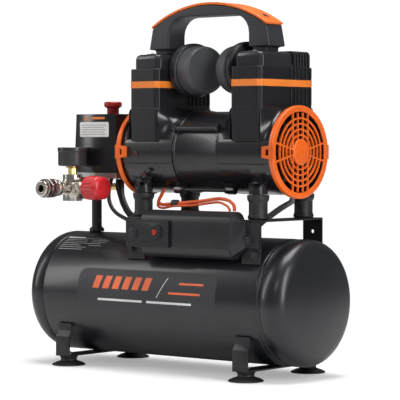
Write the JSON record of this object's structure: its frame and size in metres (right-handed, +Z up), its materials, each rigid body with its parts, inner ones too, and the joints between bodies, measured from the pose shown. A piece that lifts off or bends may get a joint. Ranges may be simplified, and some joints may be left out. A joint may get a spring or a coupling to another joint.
{
  "type": "air compressor",
  "caption": "Portable oil-free air compressor with a horizontal tank, a twin-cylinder motor pump, a carrying handle, a pressure switch, a regulator and rubber feet.",
  "frame": {"origin": "middle of the footprint, at the level that the feet stand on", "axes": "+X along the tank, away from the pressure switch; -Y is the front, with the quick coupler; +Z up"},
  "size_m": [0.4406, 0.1962, 0.4757],
  "materials": {
    "tank_paint": "satin powder coat over welded steel",
    "bracket_paint": "satin powder coat over steel sheet",
    "rubber": "moulded black rubber",
    "motor_paint": "satin paint over a rolled steel shell",
    "pump_housing": "satin paint over die-cast aluminium",
    "moulded_charcoal": "fine-textured moulded plastic",
    "moulded_orange": "satin moulded plastic",
    "moulded_red": "glossy moulded plastic",
    "gauge_case": "black moulded case",
    "gauge_pointer": "matt black",
    "fan_plastic": "moulded nylon",
    "nickel_plate": "satin nickel plate over brass",
    "die_cast": "die-cast aluminium",
    "machined_steel": "turned steel",
    "laminated_core": "varnished laminations and windings",
    "capacitor_can": "moulded plastic can",
    "brass": "turned brass",
    "braided_hose": "braided hose",
    "cable_jacket": "black cable jacket",
    "orange_wire": "orange wire insulation"
  },
  "bodies": {
    "frame": {"tank_barrel": "tank_paint", "tank_end_left": "tank_paint", "tank_end_right": "tank_paint", "foot_bracket_left": "bracket_paint", "foot_bracket_right": "bracket_paint", "motor_bracket_left": "bracket_paint", "motor_bracket_right": "bracket_paint", "stand_pipe": "bracket_paint", "foot_cup_front_left": "rubber", "foot_cup_front_right": "rubber", "foot_cup_back_left": "rubber", "foot_cup_back_right": "rubber", "damper_front_left": "rubber", "damper_front_right": "rubber", "damper_back_left": "rubber", "damper_back_right": "rubber", "motor_shell": "motor_paint", "crankcase_left": "pump_housing", "crankcase_right": "pump_housing", "cylinder_head_left": "pump_housing", "cylinder_head_right": "pump_housing", "shroud_left": "moulded_charcoal", "shroud_right": "moulded_charcoal", "intake_filter_left": "moulded_charcoal", "intake_filter_right": "moulded_charcoal", "handle_frame": "moulded_charcoal", "electrical_box": "moulded_charcoal", "electrical_box_lid": "moulded_charcoal", "pressure_switch_cover": "moulded_charcoal", "handle_cover": "moulded_orange", "grille_left": "moulded_orange", "grille_right": "moulded_orange", "gauge": "gauge_case", "regulator_body": "nickel_plate", "coupler_body": "nickel_plate", "pressure_switch_base": "die_cast", "cylinder_left": "die_cast", "cylinder_right": "die_cast", "stator": "laminated_core", "capacitor": "capacitor_can", "safety_valve": "brass", "check_valve": "brass", "drain_valve": "brass", "delivery_hose": "braided_hose", "switch_cable": "cable_jacket", "motor_lead": "orange_wire"},
    "rotor": {"rotor": "machined_steel", "eccentric_left": "machined_steel", "eccentric_right": "machined_steel", "fan_left": "fan_plastic", "fan_right": "fan_plastic"},
    "piston_left": {"piston_left": "die_cast"},
    "piston_right": {"piston_right": "die_cast"},
    "power_button": {"power_button": "moulded_red"},
    "regulator_knob": {"regulator_knob": "moulded_red"},
    "gauge_needle": {"gauge_needle": "gauge_pointer"},
    "coupler_sleeve": {"coupler_sleeve": "nickel_plate"},
    "safety_valve_ring": {"safety_valve_ring": "machined_steel"},
    "drain_knob": {"drain_knob": "brass"},
    "reset_button": {"reset_button": "moulded_red"}
  },
  "joints": [
    {"name": "shaft_spin", "type": "hinge", "parent": "frame", "child": "rotor", "pos_m": [0.057, 0.01115, 0.2837], "axis": [1, 0, 0], "continuous": true},
    {"name": "piston_left_slide", "type": "slide", "parent": "frame", "child": "piston_left", "axis": [0, 0, 1], "range_m": [0, 0.016]},
    {"name": "piston_right_slide", "type": "slide", "parent": "frame", "child": "piston_right", "axis": [0, 0, 1], "range_m": [-0.016, 0]},
    {"name": "power_button_pull", "type": "slide", "parent": "frame", "child": "power_button", "axis": [0, 0, 1], "range_m": [0, 0.006]},
    {"name": "regulator_knob_turn", "type": "hinge", "parent": "frame", "child": "regulator_knob", "pos_m": [-0.1308, -0.03685, 0.2353], "axis": [1, 0, 0], "range_deg": [-540, 540]},
    {"name": "gauge_needle_turn", "type": "hinge", "parent": "frame", "child": "gauge_needle", "pos_m": [-0.158, -0.03685, 0.2834], "axis": [0, 0, -1], "range_deg": [0, 270], "stiffness_Nm_per_rad": 0.0005},
    {"name": "coupler_sleeve_slide", "type": "slide", "parent": "frame", "child": "coupler_sleeve", "axis": [0, 1, 0], "range_m": [0, 0.004], "stiffness_N_per_m": 1500},
    {"name": "safety_ring_pull", "type": "slide", "parent": "frame", "child": "safety_valve_ring", "axis": [0, 1, 0], "range_m": [0, 0.003], "stiffness_N_per_m": 1500},
    {"name": "drain_knob_turn", "type": "hinge", "parent": "frame", "child": "drain_knob", "pos_m": [0, 0.06369, 0.01996], "axis": [0, 0.5736, -0.8192], "range_deg": [0, 540]},
    {"name": "reset_button_press", "type": "slide", "parent": "frame", "child": "reset_button", "axis": [0, 1, 0], "range_m": [0, 0.0015], "stiffness_N_per_m": 1000}
  ],
  "couplings": [
    {"joint": "piston_right_slide", "follows": "piston_left_slide", "ratio": -1}
  ]
}
